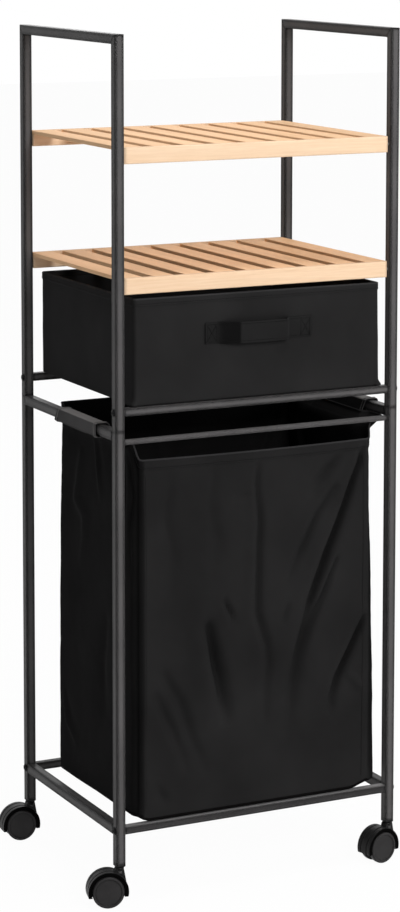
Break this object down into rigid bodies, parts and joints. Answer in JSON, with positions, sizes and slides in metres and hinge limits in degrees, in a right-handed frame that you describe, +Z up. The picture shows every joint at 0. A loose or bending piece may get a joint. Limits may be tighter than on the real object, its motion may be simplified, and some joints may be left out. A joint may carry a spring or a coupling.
{
  "type": "rolling bathroom rack",
  "caption": "Slim rolling bathroom rack: metal side frames, slatted bamboo shelves, a pull-out fabric drawer, a hanging laundry bag and swivel casters.",
  "frame": {"origin": "on the floor, in the middle of the four posts", "axes": "+X to the right seen from the drawer's front, +Y to the back, +Z up"},
  "size_m": [0.4602, 0.3188, 1.065],
  "materials": {
    "frame": "dark charcoal powder coat, satin",
    "bolt": "blackened steel, satin",
    "steel": "bright zinc plate",
    "bamboo": "pale bamboo, clear matt lacquer",
    "fabric": "black woven polyester",
    "webbing": "black folded strap with stitched ends",
    "board": "stiffening board in a black sleeve",
    "plastic": "black moulded nylon",
    "wheel": "black moulded nylon, satin"
  },
  "bodies": {
    "rack": {"upper_post_front_left": "frame", "upper_post_front_right": "frame", "upper_post_rear_left": "frame", "upper_post_rear_right": "frame", "lower_post_front_left": "frame", "lower_post_front_right": "frame", "lower_post_rear_left": "frame", "lower_post_rear_right": "frame", "top_bar_left": "frame", "top_bar_right": "frame", "bag_rail_left": "frame", "bag_rail_right": "frame", "bottom_side_rail_left": "frame", "bottom_side_rail_right": "frame", "drawer_rail_front": "frame", "drawer_rail_rear": "frame", "bottom_rail_front": "frame", "bottom_rail_rear": "frame", "front_bar": "frame", "post_joiners": "plastic", "rail_bolts": "bolt", "rail_nuts": "steel", "shelf_pins": "steel", "upper_shelf_front_rail": "bamboo", "upper_shelf_rear_rail": "bamboo", "lower_shelf_front_rail": "bamboo", "lower_shelf_rear_rail": "bamboo", "upper_shelf_slats": "bamboo", "lower_shelf_slats": "bamboo", "bag_body": "fabric", "bag_board": "board", "bag_sleeve_left": "fabric", "bag_sleeve_right": "fabric", "caster_plug_front_left": "plastic", "caster_plug_front_right": "plastic", "caster_plug_rear_left": "plastic", "caster_plug_rear_right": "plastic"},
    "drawer": {"drawer_box": "fabric", "drawer_board": "board", "drawer_strap": "webbing"},
    "caster_front_left": {"caster_stem_front_left": "steel", "caster_hood_front_left": "plastic", "caster_axle_front_left": "steel"},
    "caster_front_right": {"caster_stem_front_right": "steel", "caster_hood_front_right": "plastic", "caster_axle_front_right": "steel"},
    "caster_rear_left": {"caster_stem_rear_left": "steel", "caster_hood_rear_left": "plastic", "caster_axle_rear_left": "steel"},
    "caster_rear_right": {"caster_stem_rear_right": "steel", "caster_hood_rear_right": "plastic", "caster_axle_rear_right": "steel"},
    "outer_wheel_front_left": {"wheel_outer_front_left": "wheel"},
    "inner_wheel_front_left": {"wheel_inner_front_left": "wheel"},
    "outer_wheel_front_right": {"wheel_outer_front_right": "wheel"},
    "inner_wheel_front_right": {"wheel_inner_front_right": "wheel"},
    "outer_wheel_rear_left": {"wheel_outer_rear_left": "wheel"},
    "inner_wheel_rear_left": {"wheel_inner_rear_left": "wheel"},
    "outer_wheel_rear_right": {"wheel_outer_rear_right": "wheel"},
    "inner_wheel_rear_right": {"wheel_inner_rear_right": "wheel"}
  },
  "joints": [
    {"name": "drawer_slide", "type": "slide", "parent": "rack", "child": "drawer", "axis": [0, -1, 0], "range_m": [0, 0.2]},
    {"name": "swivel_front_left", "type": "hinge", "parent": "rack", "child": "caster_front_left", "pos_m": [-0.189, -0.139, 0.05], "axis": [0, 0, 1], "continuous": true},
    {"name": "swivel_front_right", "type": "hinge", "parent": "rack", "child": "caster_front_right", "pos_m": [0.189, -0.139, 0.05], "axis": [0, 0, 1], "continuous": true},
    {"name": "swivel_rear_left", "type": "hinge", "parent": "rack", "child": "caster_rear_left", "pos_m": [-0.189, 0.139, 0.05], "axis": [0, 0, 1], "continuous": true},
    {"name": "swivel_rear_right", "type": "hinge", "parent": "rack", "child": "caster_rear_right", "pos_m": [0.189, 0.139, 0.05], "axis": [0, 0, 1], "continuous": true},
    {"name": "outer_spin_front_left", "type": "hinge", "parent": "caster_front_left", "child": "outer_wheel_front_left", "pos_m": [-0.20349, -0.13512, 0.02], "axis": [0.2588, 0.9659, 0], "continuous": true},
    {"name": "inner_spin_front_left", "type": "hinge", "parent": "caster_front_left", "child": "inner_wheel_front_left", "pos_m": [-0.20349, -0.13512, 0.02], "axis": [0.2588, 0.9659, 0], "continuous": true},
    {"name": "outer_spin_front_right", "type": "hinge", "parent": "caster_front_right", "child": "outer_wheel_front_right", "pos_m": [0.17433, -0.14212, 0.02], "axis": [-0.2079, 0.9781, 0], "continuous": true},
    {"name": "inner_spin_front_right", "type": "hinge", "parent": "caster_front_right", "child": "inner_wheel_front_right", "pos_m": [0.17433, -0.14212, 0.02], "axis": [-0.2079, 0.9781, 0], "continuous": true},
    {"name": "outer_spin_rear_left", "type": "hinge", "parent": "caster_rear_left", "child": "outer_wheel_rear_left", "pos_m": [-0.20394, 0.14031, 0.02], "axis": [0.0872, 0.9962, 0], "continuous": true},
    {"name": "inner_spin_rear_left", "type": "hinge", "parent": "caster_rear_left", "child": "inner_wheel_rear_left", "pos_m": [-0.20394, 0.14031, 0.02], "axis": [0.0872, 0.9962, 0], "continuous": true},
    {"name": "outer_spin_rear_right", "type": "hinge", "parent": "caster_rear_right", "child": "outer_wheel_rear_right", "pos_m": [0.20349, 0.14288, 0.02], "axis": [-0.2588, 0.9659, 0], "continuous": true},
    {"name": "inner_spin_rear_right", "type": "hinge", "parent": "caster_rear_right", "child": "inner_wheel_rear_right", "pos_m": [0.20349, 0.14288, 0.02], "axis": [-0.2588, 0.9659, 0], "continuous": true}
  ]
}
